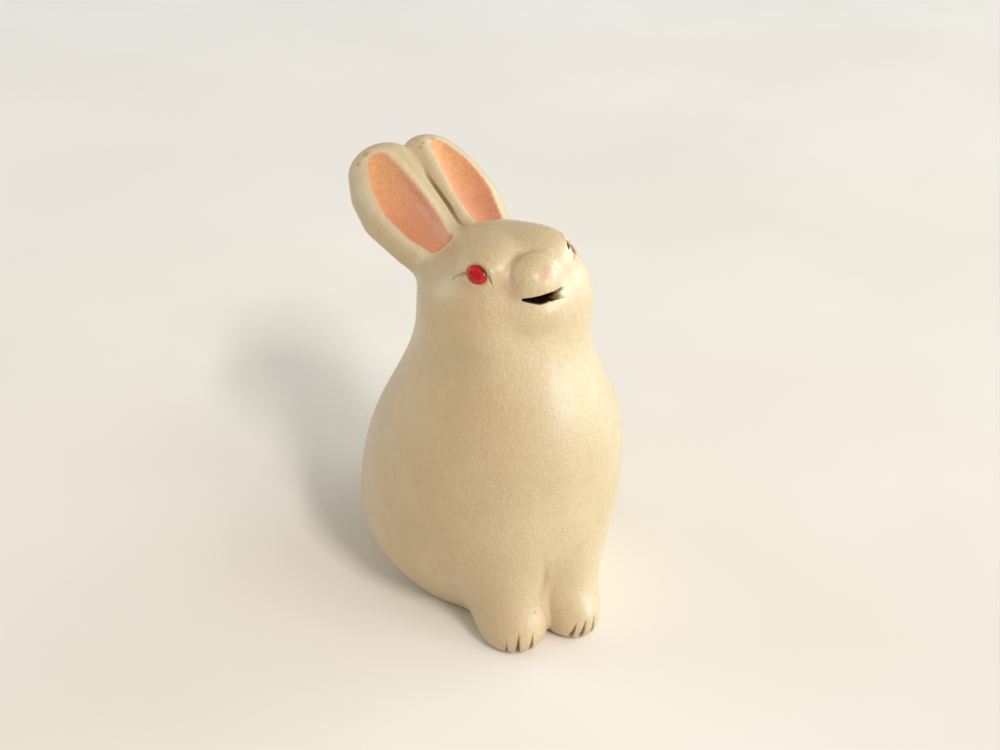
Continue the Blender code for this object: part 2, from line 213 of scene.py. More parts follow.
def turned_with_head(points):
    """Where points of the head that looks straight ahead come to lie on the turned head."""
    points = np.atleast_2d(np.array(points, float))
    angle = np.radians(HEAD_TURN)
    x, y = points[:, 0], points[:, 1] - TURN_AXIS_Y
    turned_x = np.cos(angle) * x - np.sin(angle) * y
    turned_y = np.sin(angle) * x + np.cos(angle) * y + TURN_AXIS_Y
    return np.stack([turned_x, turned_y, points[:, 2]], axis=1)


def head(h):
    """Skull, cheeks, brows, lower lip and the round snout."""
    both = mirrored(h, FACE_MIDDLE_ROUNDING)
    mass = ellipsoid(h, SKULL_CENTRE, SKULL_RADII, pitch=SKULL_TIP)
    mass = join(mass, ellipsoid(both, CHEEK_CENTRE, CHEEK_RADII), CHEEK_BLEND)
    mass = join(mass, ellipsoid(both, BROW_CENTRE, BROW_RADII, pitch=SKULL_TIP), BROW_BLEND)
    mass = join(mass, ellipsoid(h, LIP_CENTRE, LIP_RADII), LIP_BLEND)
    return join(mass, ellipsoid(h, SNOUT_CENTRE, SNOUT_RADII), SNOUT_BLEND)


def ear_axes():
    """The left ear's directions: outwards across it, along it to the tip, and up out of its hollow."""
    rise, splay, lean = np.radians((EAR_RISE, EAR_SPLAY, EAR_LEAN))
    along = np.array([np.sin(splay) * np.cos(rise), np.cos(splay) * np.cos(rise), np.sin(rise)])
    up = np.array([np.sin(lean), 0, np.cos(lean)])
    up -= along * (up @ along)
    up /= np.linalg.norm(up)
    return np.stack([np.cross(along, up), along, up])


def on_ear(h):
    """Points in the nearer ear's own directions, counted from its root."""
    folded = mirrored(h, EARS_MEETING_ROUNDING, EARS_MEETING_X)
    return (folded - np.array(EAR_ROOT)) @ ear_axes().T


def leaf(flat, shape):
    """A row of round cones, each from one place of the shape to the next."""
    distance = np.full(len(flat), np.inf)
    for (start, start_out, start_radius), (end, end_out, end_radius) in zip(shape, shape[1:]):
        length = round_cone(flat, (start_out, start, 0), (end_out, end, 0), start_radius, end_radius)
        distance = np.minimum(distance, length)
    return distance


def ear(q):
    """A flattened blade, widest past its middle."""
    return EAR_DISTANCE_SHARE * leaf(q * (1, 1, EAR_FLATTENING), EAR_SHAPE)


def ear_hollow(q, h):
    """The scoop that leaves the ear's long hollow, down to where it meets the head."""
    shift = np.where(h[:, 0] > EARS_MEETING_X, LEFT_HOLLOW_SHIFT, 0.0)
    away = q - np.stack([shift, np.zeros(len(q)), np.full(len(q), HOLLOW_ABOVE)], axis=1)
    return leaf(away * (1, 1, HOLLOW_FLATTENING), HOLLOW_SHAPE)


def rabbit_form(p):
    """The whole figure, before its eyes, mouth and toes are pressed in."""
    h = straight_ahead(p)
    q = on_ear(h)
    fade = smooth_step((p[:, 2] - GROOVE_START_Z) / (GROOVE_END_Z - GROOVE_START_Z))
    groove = GROOVE_SHARP + (GROOVE_FADED - GROOVE_SHARP) * fade
    legs = join(foreleg(p, **RIGHT_PAW), foreleg(p, **LEFT_PAW), groove)
    mass = join(body(h), legs, CHEST_BLEND)
    mass = join(mass, ellipsoid(p, TAIL_CENTRE, (TAIL_RADIUS,) * 3), TAIL_BLEND)
    mass = join(mass, head(h), NECK_BLEND)
    mass = join(mass, ear(q), EAR_BLEND)
    mass = cut(mass, ear_hollow(q, h), EAR_RIM_ROUNDING)
    return cut(mass, p[:, 2], FOOT_ROUNDING)


GRADIENT_REACH = 0.05
LONGEST_PULL, LEAST_STEEPNESS = 0.8, 0.1


def outwards(p):
    """Which way the distance grows, and how fast, at each point."""
    here = rabbit_form(p)
    steps = GRADIENT_REACH * np.eye(3)
    return here, np.stack([rabbit_form(p + s) - here for s in steps], axis=1) / GRADIENT_REACH


def onto_form(p, rounds):
    """Points pulled onto the form's surface, a little further each round."""
    for _ in range(rounds):
        distance, slope = outwards(p)
        pull = distance / np.maximum(np.square(slope).sum(axis=1), LEAST_STEEPNESS)
        p = p - slope * np.clip(pull, -LONGEST_PULL, LONGEST_PULL)[:, None]
    return p


def points_of(mesh):
    """A mesh's points in the form's own mm."""
    points = np.empty(3 * len(mesh.vertices))
    mesh.vertices.foreach_get("co", points)
    return points.reshape(-1, 3) / MM + (0, NECK_FORWARD, 0)


def set_points(mesh, points):
    mesh.vertices.foreach_set("co", ((points - (0, NECK_FORWARD, 0)) * MM).ravel())
    mesh.update()


def regrain(obj, grain, rubs):
    """Divides the surface into even faces of this grain and rubs it smooth."""
    remesh = obj.modifiers.new("even grain", "REMESH")
    remesh.mode = "VOXEL"
    remesh.voxel_size = grain * MM
    smooth = obj.modifiers.new("rubbed smooth", "SMOOTH")
    smooth.iterations = rubs
    shaped = bpy.data.meshes.new_from_object(obj.evaluated_get(bpy.context.evaluated_depsgraph_get()))
    obj.modifiers.clear()
    obj.data = shaped


# Coarse and then fine: the faces' size, and how many rounds of pulling onto the form follow.
CLAY_GRAINS = ((0.9, 3), (0.56, 2))
RUBS = 2

rabbit = bpy.data.objects.new("glazed_rabbit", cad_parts["rabbit"].data.copy())
bpy.context.scene.collection.objects.link(rabbit)
for clay_grain, rounds in CLAY_GRAINS:
    regrain(rabbit, clay_grain, RUBS)
    set_points(rabbit.data, onto_form(points_of(rabbit.data), rounds))

# Marks pressed and drawn in the clay
#
# With the clay still soft, the eyes were pressed in with a round-ended stick, the mouth was opened with a
# blade, a needle drew the lids and the lines between the toes, and a rounded tool left soft grooves over
# the snout, between the ears and between the legs. Painted shade darkens the open mouth and these grooves,
# and the lids and the toe lines are drawn darker brown.
#
# Each mark is a row of places with its full width and depth there, and how dark it is painted.
# On the head the places are given as if it looked straight ahead.
HEAD_MARKS = {
    "mouth": (
        (-3.9, -14.2, 75.85, 0.6, 0.5, 1.0),
        (-3.3, -14.6, 75.8, 0.95, 1.0, 1.0),
        (-2.5, -14.9, 75.75, 1.3, 1.4, 1.0),
        (-1.7, -15.2, 75.7, 1.65, 1.7, 1.0),
        (-0.9, -15.3, 75.65, 1.9, 1.9, 1.0),
        (0.2, -15.4, 75.7, 1.95, 1.9, 1.0),
        (1.2, -15.3, 75.75, 1.8, 1.7, 1.0),
        (2.2, -15.0, 75.85, 1.3, 1.3, 0.9),
        (3.3, -14.4, 75.9, 0.9, 0.5, 0.64),
        (4.4, -13.8, 75.8, 0.65, 0.25, 0.5),
        (5.3, -13.1, 75.6, 0.4, 0.1, 0.25),
    ),
    "mouth corner": (
        (1.6, -15.1, 75.3, 1.3, 1.4, 1.0),
        (2.7, -14.8, 75.0, 0.9, 0.6, 0.6),
        (3.9, -14.4, 74.6, 0.7, 0.25, 0.32),
        (5.3, -14.0, 74.1, 0.4, 0.1, 0.12),
    ),
    # Painted shade in the wedge between the two branches at the mouth's left end.
    "painted shade at the mouth's left end": (
        (2.4, -14.9, 75.4, 1.6, 0.5, 0.60),
        (3.6, -14.3, 75.3, 1.5, 0.1, 0.45),
        (4.8, -13.7, 75.1, 1.0, 0.02, 0.15),
    ),
    "fold over the snout": (
        (-4.9, -12.3, 77.6, 1.4, 0.05, 0.02),
        (-5.1, -11.6, 79.0, 1.9, 0.25, 0.06),
        (-4.6, -10.6, 80.6, 2.2, 0.38, 0.10),
        (-3.8, -9.8, 81.7, 2.2, 0.40, 0.14),
        (-1.7, -8.6, 82.3, 2.2, 0.35, 0.16),
        (0.9, -8.2, 82.3, 2.0, 0.32, 0.14),
        (2.8, -9.0, 82.0, 2.0, 0.16, 0.12),
        (4.3, -10.3, 81.2, 1.8, 0.07, 0.08),
        (5.4, -11.4, 79.8, 1.4, 0.02, 0.02),
    ),
    "right eye's outer corner": (
        (-13.3, -3.1, 77.0, 0.4, 0.05, 0.10),
        (-12.5, -3.8, 78.1, 0.6, 0.14, 0.20),
        (-11.5, -5.8, 79.4, 0.7, 0.2, 0.26),
    ),
    "right eye's inner corner": (
        (-8.7, -9.7, 79.7, 0.6, 0.2, 0.26),
        (-8.5, -10.1, 78.8, 0.6, 0.2, 0.20),
        (-8.3, -10.5, 77.9, 0.35, 0.08, 0.1),
    ),
    # Painted shade where the edge of the left eye's pit is seen side-on, drawn as its near lid.
    "left eye's near lid": (
        (9.7, -6.4, 81.9, 0.3, 0.1, 0.3),
        (9.4, -7.4, 81.6, 0.6, 0.4, 0.8),
        (9.1, -8.3, 81.3, 0.6, 0.4, 0.7),
        (8.8, -9.0, 80.9, 0.3, 0.1, 0.3),
    ),
    "left eye's outer corner": (
        (13.9, -2.1, 77.4, 0.4, 0.05, 0.10),
        (13.2, -3.0, 78.5, 0.6, 0.14, 0.20),
        (12.4, -4.9, 79.8, 0.7, 0.2, 0.26),
    ),
    "left eye's inner corner": (
        (10.0, -8.7, 80.0, 0.5, 0.2, 0.3),
        (9.8, -9.2, 79.1, 0.5, 0.2, 0.26),
        (9.6, -9.6, 78.2, 0.35, 0.08, 0.1),
    ),
    "groove between the ears": (
        (-1.2, 33.0, 84.0, 0.8, 0.05, 0.06),
        (-1.3, 29.0, 83.2, 1.2, 0.12, 0.30),
        (-1.2, 26.0, 82.3, 1.3, 0.15, 0.38),
        (-1.1, 20.5, 80.4, 1.3, 0.15, 0.38),
        (-1.3, 16.0, 79.0, 1.2, 0.15, 0.30),
        (-1.9, 11.0, 80.0, 1.0, 0.1, 0.08),
    ),
}
PAW_MARKS = {
    "right paw's first toe line": (
        (-8.7, -24.1, 4.2, 0.3, 0.1, 0.10),
        (-8.6, -24.1, 2.6, 0.5, 0.4, 0.20),
        (-8.5, -23.7, 0.3, 0.8, 0.8, 0.26),
    ),
    "right paw's second toe line": (
        (-6.2, -24.8, 6.0, 0.3, 0.1, 0.12),
        (-6.4, -25.1, 3.8, 0.65, 0.7, 0.26),
        (-6.4, -24.7, 0.3, 1.25, 1.3, 0.30),
    ),
    "right paw's third toe line": (
        (-3.3, -24.9, 5.4, 0.3, 0.1, 0.12),
        (-3.4, -25.1, 3.2, 0.65, 0.7, 0.26),
        (-3.6, -24.7, 0.3, 1.2, 1.3, 0.30),
    ),
    "groove between the legs": (
        (1.3, -22.0, 6.5, 1.4, 0.2, 0.10),
        (0.9, -22.3, 11.0, 2.1, 0.5, 0.10),
        (0.5, -22.3, 16.0, 2.2, 0.4, 0.07),
        (0.3, -22.6, 21.0, 2.2, 0.05, 0.0),
    ),
    "left paw's first toe line": (
        (6.3, -24.7, 5.0, 0.3, 0.1, 0.12),
        (5.8, -24.7, 3.2, 0.65, 0.7, 0.26),
        (5.2, -24.0, 0.8, 1.1, 1.0, 0.28),
    ),
    "left paw's second toe line": (
        (8.4, -24.8, 5.6, 0.3, 0.1, 0.12),
        (7.9, -25.1, 3.7, 0.65, 0.7, 0.26),
        (7.3, -24.8, 1.0, 1.1, 1.1, 0.28),
    ),
    "left paw's third toe line": (
        (10.6, -24.0, 5.6, 0.3, 0.1, 0.10),
        (10.2, -24.6, 4.0, 0.55, 0.5, 0.22),
        (9.9, -24.5, 1.5, 0.9, 0.7, 0.26),
    ),
}
# How many places fill a mark in from one row to the next, and in how many rounds they are laid on the form.
MARK_STEPS, MARK_ROUNDS = 12, 4


def along_mark(rows, on_head):
    """The mark's rows, evenly filled in, with their places laid on the surface."""
    rows = np.array(rows)
    share = np.linspace(0, len(rows) - 1, MARK_STEPS * (len(rows) - 1) + 1)
    filled = np.stack([np.interp(share, range(len(rows)), column) for column in rows.T], axis=1)
    if on_head:
        filled[:, :3] = turned_with_head(filled[:, :3])
    filled[:, :3] = onto_form(filled[:, :3], MARK_ROUNDS)
    return filled


marks = [along_mark(rows, True) for rows in HEAD_MARKS.values()]
marks += [along_mark(rows, False) for rows in PAW_MARKS.values()]

# The right eye and the left. The left eye's pit lies further round the head and deeper.
EYE_PLACES = turned_with_head(((-10.3, -7.9, 79.9), (11.4, -6.6, 80.7)))
EYE_DEEP = (1.0, 2.2)
EYE_HALF_WIDE, EYE_HALF_HIGH, EYE_TILT = 2.2, 1.75, 18.0

# How far the finer surface reaches from a mark in the first halving and the second. It reaches further
# from an eye. A soft groove is at least this wide, and smooth enough for one halving.
FIRST_REACH, SECOND_REACH, EYE_REACHES_FURTHER = 1.8, 1.2, 2.2
SOFT_WIDE = 2.0


def nearest_on(points, mark):
    """Each point's distance to a mark, and the number of the mark's nearest row."""
    apart = np.linalg.norm(points[:, None, :] - mark[None, :, :3], axis=2)
    return apart.min(axis=1), apart.argmin(axis=1)


def near_marks(points, chosen, reach):
    """Which points lie near any of the chosen marks or an eye."""
    near = np.zeros(len(points), bool)
    for mark in chosen:
        low, high = mark[:, :3].min(axis=0) - reach, mark[:, :3].max(axis=0) + reach
        box = np.flatnonzero(((points > low) & (points < high)).all(axis=1))
        near[box] |= nearest_on(points[box], mark)[0] < reach
    for place in EYE_PLACES:
        near |= np.linalg.norm(points - place, axis=1) < reach + EYE_REACHES_FURTHER
    return near


def divide_near_marks(obj, chosen, reach):
    """Halves the grain of the surface around the chosen marks."""
    near = near_marks(points_of(obj.data), chosen, reach)
    bm = bmesh.new()
    bm.from_mesh(obj.data)
    edges = {edge for face in bm.faces if all(near[v.index] for v in face.verts) for edge in face.edges}
    bmesh.ops.subdivide_edges(bm, edges=list(edges), cuts=1, use_grid_fill=True)
    bm.to_mesh(obj.data)
    bm.free()
    obj.data.update()
    set_points(obj.data, onto_form(points_of(obj.data), 1))


sharp_marks = [mark for mark in marks if mark[:, 3].max() < SOFT_WIDE]
divide_near_marks(rabbit, marks, FIRST_REACH)
divide_near_marks(rabbit, sharp_marks, SECOND_REACH)


def eye_directions(place):
    """Across the eye, up it and out of it, on the surface of the face."""
    _, slope = outwards(place[None, :])
    out = slope[0] / np.linalg.norm(slope[0])
    level = np.cross((0, 0, 1), out)
    level /= np.linalg.norm(level)
    tilt = np.radians(EYE_TILT) * np.sign(place[0])
    side = np.cos(tilt) * level + np.sin(tilt) * np.cross(out, level)
    return np.stack([side, np.cross(out, side), out])


# Across a mark, in halves of its width: where the groove ends, where the low burr beside it stands and
# how wide, and where the dark glaze starts to fade and how softly.
GROOVE_ENDS = 1.25
BURR_HIGH, BURR_PLACE, BURR_WIDE = 0.06, 1.7, 0.45
GLAZE_FADES, GLAZE_FADE_WIDE = 0.8, 0.5
# Nothing this far from a mark's nearest row is touched. A burr rises only where less than this is sunk.
MARK_ENDS, HARDLY_SUNK = 2.8, 0.02
# Across an eye's pit, in halves of its size: where its wall starts and ends, and the rim around it.
PIT_FLOOR, PIT_WALL, PIT_ENDS = 0.35, 0.8, 1.15
PIT_RIM_HIGH, PIT_RIM_PLACE, PIT_RIM_WIDE = 0.12, 1.35, 0.22
RIM_OUTSIDE, RIM_HARDLY_SUNK = 1.0, 0.05
PIT_THROUGH, FAR_FROM_EYES = 4.0, 9.0
# Points this near the table stand on it.
TABLE_LAYER = 0.05

points = points_of(rabbit.data)
_, slope = outwards(points)
out = slope / np.maximum(np.linalg.norm(slope, axis=1), 1e-9)[:, None]
sunk = np.zeros(len(points))
mark_shade = np.zeros(len(points))
for mark in marks:
    low, high = mark[:, :3].min(axis=0) - MARK_ENDS, mark[:, :3].max(axis=0) + MARK_ENDS
    box = np.flatnonzero(((points > low) & (points < high)).all(axis=1))
    apart, row = nearest_on(points[box], mark)
    wide, deep, darkness = mark[row, 3], mark[row, 4], mark[row, 5]
    across_mark = apart / (wide / 2)
    groove = deep * (1 - smooth_step(across_mark / GROOVE_ENDS))
    burr = BURR_HIGH * np.minimum(deep, 1) * np.exp(-np.square((across_mark - BURR_PLACE) / BURR_WIDE))
    sunk[box] = np.maximum(sunk[box], groove) - burr * (sunk[box] < HARDLY_SUNK)
    fade = smooth_step((across_mark - GLAZE_FADES) / GLAZE_FADE_WIDE)
    mark_shade[box] = np.maximum(mark_shade[box], darkness * (1 - fade))

eye_paint = np.full(len(points), FAR_FROM_EYES)
for place, deep in zip(EYE_PLACES, EYE_DEEP):
    side, up, direction = eye_directions(place)
    away = points - place
    share = np.hypot(away @ side / EYE_HALF_WIDE, away @ up / EYE_HALF_HIGH)
    share = np.where(np.abs(away @ direction) < PIT_THROUGH, share, FAR_FROM_EYES)
    bowl = deep * (1 - smooth_step((share - PIT_FLOOR) / PIT_WALL))
    rim = PIT_RIM_HIGH * np.exp(-np.square((share - PIT_RIM_PLACE) / PIT_RIM_WIDE))
    inside = share < PIT_ENDS
    sunk[inside] = np.maximum(sunk[inside], bowl[inside])
    sunk -= rim * (share > RIM_OUTSIDE) * (sunk < RIM_HARDLY_SUNK)
    eye_paint = np.minimum(eye_paint, share)

points = points - out * sunk[:, None]
points[points[:, 2] < TABLE_LAYER, 2] = 0
set_points(rabbit.data, points)

# The glaze
#
# The whole figure is dipped in a cream glaze that fires to a grainy satin with a few iron specks, and a
# painted highlight runs pale along the ears' rims. The ear hollows and the nose are brushed salmon pink, the
# open mouth is painted near-black brown as shade, and a little red has bled from the eyes.


def keep_on_mesh(obj, name, values):
    """Stores one number for each point of the mesh, for the glaze to read."""
    layer = obj.data.attributes.new(name, "FLOAT", "POINT")
    layer.data.foreach_set("value", values.astype(np.float32))


h = straight_ahead(points)
q = on_ear(h)
keep_on_mesh(rabbit, "ear_hollow", ear_hollow(q, h))
keep_on_mesh(rabbit, "along_ear", q[:, 1])
NOSE_PLACE = turned_with_head((1.2, -14.6, 80.3))[0]
NOSE_HALF_WIDE, NOSE_HALF_HIGH = 2.3, 1.35
away = points - NOSE_PLACE
wide_of_nose = np.hypot(away[:, 0], away[:, 1]) / NOSE_HALF_WIDE
keep_on_mesh(rabbit, "nose", np.hypot(wide_of_nose, away[:, 2] / NOSE_HALF_HIGH))
keep_on_mesh(rabbit, "painted_mark_shade", mark_shade)
keep_on_mesh(rabbit, "eye_paint", eye_paint)


class Wire:
    """A value that runs through a material's nodes. Arithmetic on wires adds Math nodes."""

    def __init__(self, tree, socket=None):
        self.tree = tree
        self.socket = socket

    def node(self, kind, settings, sockets, output=0):
        """Adds a node: first its settings, then a value or a wire for each of the sockets named."""
        made = self.tree.nodes.new("ShaderNode" + kind)
        for name, value in settings.items():
            setattr(made, name, value)
        for name, value in sockets.items():
            if isinstance(value, Wire):
                self.tree.links.new(value.socket, made.inputs[name])
            else:
                made.inputs[name].default_value = value
        return Wire(self.tree, made.outputs[output])

    def math(self, operation, *values):
        return self.node("Math", {"operation": operation}, dict(enumerate(values)))

    def __add__(self, other):
        return self.math("ADD", self, other)

    def __radd__(self, other):
        return self.math("ADD", other, self)

    def __sub__(self, other):
        return self.math("SUBTRACT", self, other)

    def __rsub__(self, other):
        return self.math("SUBTRACT", other, self)

    def __mul__(self, other):
        return self.math("MULTIPLY", self, other)

    def __rmul__(self, other):
        return self.math("MULTIPLY", other, self)

    def between(self, none, full):
        """0 where this is at or below none, 1 at or above full, and a soft step in between."""
        sockets = {"Value": self, "From Min": none, "From Max": full}
        return self.node("MapRange", {"interpolation_type": "SMOOTHSTEP"}, sockets)

    def mixed(self, first, second):
        """The first colour where this is 0 and the second where it is 1."""
        return self.node("Mix", {"data_type": "RGBA"}, {0: self, 6: first, 7: second}, 2)

    def noise(self, place, scale, detail=2.0, roughness=0.5, distortion=0.0):
        sockets = {"Vector": place, "Scale": scale, "Detail": detail, "Roughness": roughness,
                   "Distortion": distortion}
        return self.node("TexNoise", {}, sockets)

    def painted(self, name):
        """The number that the mesh keeps under this name."""
        return self.node("Attribute", {"attribute_name": name}, {}, "Fac")


def new_material(name):
    material = bpy.data.materials.new(name)
    material.use_nodes = True
    return material, material.node_tree.nodes["Principled BSDF"], Wire(material.node_tree)


def colour(red, green, blue):
    return (red, green, blue, 1.0)


CREAM = colour(0.555, 0.422, 0.236)
CREAM_PALE = colour(0.615, 0.48, 0.28)
CREAM_WARM = colour(0.48, 0.342, 0.173)
SALMON = colour(0.72, 0.305, 0.155)
SALMON_ORANGE = colour(0.74, 0.36, 0.14)
SALMON_DEEP = colour(0.58, 0.225, 0.105)
NOSE_PINK = colour(0.56, 0.315, 0.165)
PALE_FLECK_AND_RIM_HIGHLIGHT = colour(0.76, 0.63, 0.40)
MOUTH_SHADE = colour(0.016, 0.006, 0.004)
SHADED_LINE_BROWN = colour(0.19, 0.115, 0.045)
SPECK_BROWN = colour(0.12, 0.07, 0.04)
SHADED_PIT_RED = colour(0.34, 0.025, 0.015)
EYE_BLEED_PINK = colour(0.58, 0.26, 0.17)

# The glaze's patterns: about how many repeat in a mm, and how high each stands in mm.
SAND, GRAIN, BRUSH, MOTTLE, CLOUD = 2.3, 1.3, 0.9, 0.42, 0.055
SAND_HIGH, GRAIN_HIGH, BRUSH_HIGH, MOTTLE_HIGH = 0.085, 0.17, 0.012, 0.08

# Along an ear in mm: where the deep pink of the root fades out, and where the pink turns orange.
EAR_ROOT_DEEP = (5.0, 17.0)
EAR_TURNS_ORANGE = (12.0, 26.0)

GLAZE_ROUGHNESS, GRAIN_ROUGHNESS, PINK_ROUGHNESS, DARK_ROUGHNESS = 0.43, 0.22, 0.12, 0.4
GLAZE_COAT, COAT_ROUGHNESS, GLAZE_IOR = 0.5, 0.3, 1.5

# Where single iron specks show, first on the body and then on the ears' tips: place and radius.
SPECKS = (
    ((-2.1, -22.9, 8.9), 0.26), ((-1.1, -24.2, 3.4), 0.24), ((-11.6, -19.3, 39.9), 0.16),
    ((6.9, -21.4, 23.4), 0.14), ((8.4, -21.4, 30.7), 0.13),
    ((-16.4, 38.3, 85.7), 0.60), ((-18.4, 37.2, 84.3), 0.50), ((-4.3, 37.7, 86.7), 0.40),
    ((-1.8, 39.4, 86.8), 0.50), ((-5.1, 36.7, 86.3), 0.35),
)
# A speck is full to the first share of its radius and gone at the second.
SPECK_CORE, SPECK_HALO = 0.1, 1.8
SPECK_RAGGEDNESS, SPECK_STRENGTH = 0.3, 0.5

glaze, shader, wire = new_material("cream_glaze")
metres = wire.node("TexCoord", {}, {}, "Object")
place = wire.node("VectorMath", {"operation": "SCALE"}, {0: metres, "Scale": 1 / MM})
grain = wire.noise(place, GRAIN, detail=3.0, roughness=0.65)
sand = wire.noise(place, SAND, detail=2.0, roughness=0.6)
mottle = wire.noise(place, MOTTLE, detail=3.0, roughness=0.55)
cloud = wire.noise(place, CLOUD, detail=2.0)
brushwork = wire.noise(place, BRUSH, detail=4.0, roughness=0.65, distortion=0.6)

# Each line lays one more colour over the last: where its pattern starts and is full, and how strongly.
base = cloud.between(0.35, 0.68).mixed(CREAM, CREAM_PALE)
base = (mottle.between(0.45, 0.72) * 0.35).mixed(base, CREAM_WARM)
base = (grain.between(0.5, 0.75) * 0.30).mixed(base, CREAM_PALE)
base = (sand.between(0.40, 0.64) * 0.40).mixed(base, CREAM_WARM)
base = (sand.between(0.52, 0.72) * 0.35).mixed(base, PALE_FLECK_AND_RIM_HIGHLIGHT)

hollow = wire.painted("ear_hollow") + (brushwork - 0.5) * 0.35
# A painted highlight lies pale along the ears' rims, round each hollow.
base = ((1 - hollow.between(0.8, 2.6)) * 0.6).mixed(base, PALE_FLECK_AND_RIM_HIGHLIGHT)
pink = 1 - hollow.between(0.10, 0.45)
along_ear = wire.painted("along_ear")
salmon = along_ear.between(*EAR_TURNS_ORANGE).mixed(SALMON, SALMON_ORANGE)
salmon = (brushwork.between(0.42, 0.62) * 0.45).mixed(salmon, SALMON_DEEP)
salmon = ((1 - along_ear.between(*EAR_ROOT_DEEP)) * 0.4).mixed(salmon, SALMON_DEEP)
salmon = (grain.between(0.55, 0.72) * 0.35).mixed(salmon, CREAM_PALE)
base = pink.mixed(base, salmon)

nose = 1 - (wire.painted("nose") + (brushwork - 0.5) * 0.9).between(0.5, 1.3)
base = (nose * 0.9).mixed(base, NOSE_PINK)

# The marks are drawn darker: brown along the lines, painted shade in the grooves, and near-black painted
# shade in the mouth.
mark_shade_wire = wire.painted("painted_mark_shade")
base = mark_shade_wire.between(0.02, 0.5).mixed(base, SHADED_LINE_BROWN)
base = mark_shade_wire.between(0.55, 0.95).mixed(base, MOUTH_SHADE)
eye_paint = wire.painted("eye_paint") + (brushwork - 0.5) * 0.25
base = ((1 - eye_paint.between(0.95, 1.35)) * 0.45).mixed(base, EYE_BLEED_PINK)
# The wall of each eye's pit is red, painted darker as its shade.
base = (1 - eye_paint.between(0.88, 1.02)).mixed(base, SHADED_PIT_RED)

for speck_place, radius in SPECKS:
    centre = (speck_place[0], speck_place[1] - NECK_FORWARD, speck_place[2])
    away_from = wire.node("VectorMath", {"operation": "DISTANCE"}, {0: place, 1: centre}, "Value")
    ragged = away_from + (grain - 0.5) * SPECK_RAGGEDNESS
    speck = 1 - ragged.between(radius * SPECK_CORE, radius * SPECK_HALO)
    base = (speck * SPECK_STRENGTH).mixed(base, SPECK_BROWN)

height = grain * GRAIN_HIGH + sand * SAND_HIGH + mottle * MOTTLE_HIGH + brushwork * BRUSH_HIGH
bump = wire.node("Bump", {}, {"Strength": 1.0, "Distance": MM, "Height": height}, "Normal")
in_dark = mark_shade_wire.between(0.1, 0.7)
roughness = GLAZE_ROUGHNESS + (grain - 0.5) * GRAIN_ROUGHNESS
roughness = roughness + pink * PINK_ROUGHNESS + in_dark * DARK_ROUGHNESS
coat = GLAZE_COAT - in_dark * GLAZE_COAT
wire.tree.links.new(base.socket, shader.inputs["Base Color"])
wire.tree.links.new(roughness.socket, shader.inputs["Roughness"])
wire.tree.links.new(bump.socket, shader.inputs["Normal"])
wire.tree.links.new(coat.socket, shader.inputs["Coat Weight"])
wire.tree.links.new(in_dark.socket, shader.inputs["Metallic"])
shader.inputs["Coat Roughness"].default_value = COAT_ROUGHNESS
shader.inputs["IOR"].default_value = GLAZE_IOR

rabbit.data.materials.clear()
rabbit.data.materials.append(glaze)
rabbit.data.shade_smooth()
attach(rabbit, "root")
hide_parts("rabbit")

# The eyes
#
# A drop of red glaze stands in each eye's pit, thickest in the middle, with painted shade along its upper
# edge on the rabbit's left, under the pit's lip. It is the glossiest surface on the figure.
DROP_HALF_WIDE, DROP_HALF_HIGH, DROP_THICK = 2.2, 1.55, 0.95
# How deep the right eye's drop sits, and the left's.
DROP_SUNK = (0.38, 2.1)
# A drop is lumpy by this share of its size, with this many lumps across.
LUMPINESS, LUMPS = 0.10, 1.6
# The painted shade on the drop is darkest towards this side, under the pit's lip: across it and up it.
DROP_SHADE_SIDE = Vector((0.6, 0.9))

DROP_RED = colour(0.60, 0.002, 0.003)
DROP_DEEP_RED = colour(0.36, 0.002, 0.003)
DROP_EDGE_SHADE = colour(0.10, 0.008, 0.004)
# How many swirls in a mm, and how high they ripple in mm.
SWIRL, RIPPLE_HIGH = 1.1, 0.12

red_glaze, shader, wire = new_material("red_glaze")
metres = wire.node("TexCoord", {}, {}, "Object")
place_in_eye = wire.node("VectorMath", {"operation": "SCALE"}, {0: metres, "Scale": 1 / MM})
swirl = wire.noise(place_in_eye, SWIRL, detail=3.0, distortion=0.8)
red = swirl.between(0.38, 0.62).mixed(DROP_RED, DROP_DEEP_RED)
drop_edge_shade = wire.painted("drop_edge_shade") + (swirl - 0.5) * 0.35
red = drop_edge_shade.between(0.45, 0.85).mixed(red, DROP_EDGE_SHADE)
ripple = wire.node("Bump", {}, {"Strength": 1.0, "Distance": MM, "Height": swirl * RIPPLE_HIGH}, "Normal")
wire.tree.links.new(red.socket, shader.inputs["Base Color"])
wire.tree.links.new(ripple.socket, shader.inputs["Normal"])
shader.inputs["Roughness"].default_value = 0.2
shader.inputs["Specular IOR Level"].default_value = 0.35
shader.inputs["Coat Weight"].default_value = 0.25
shader.inputs["Coat Roughness"].default_value = 0.08

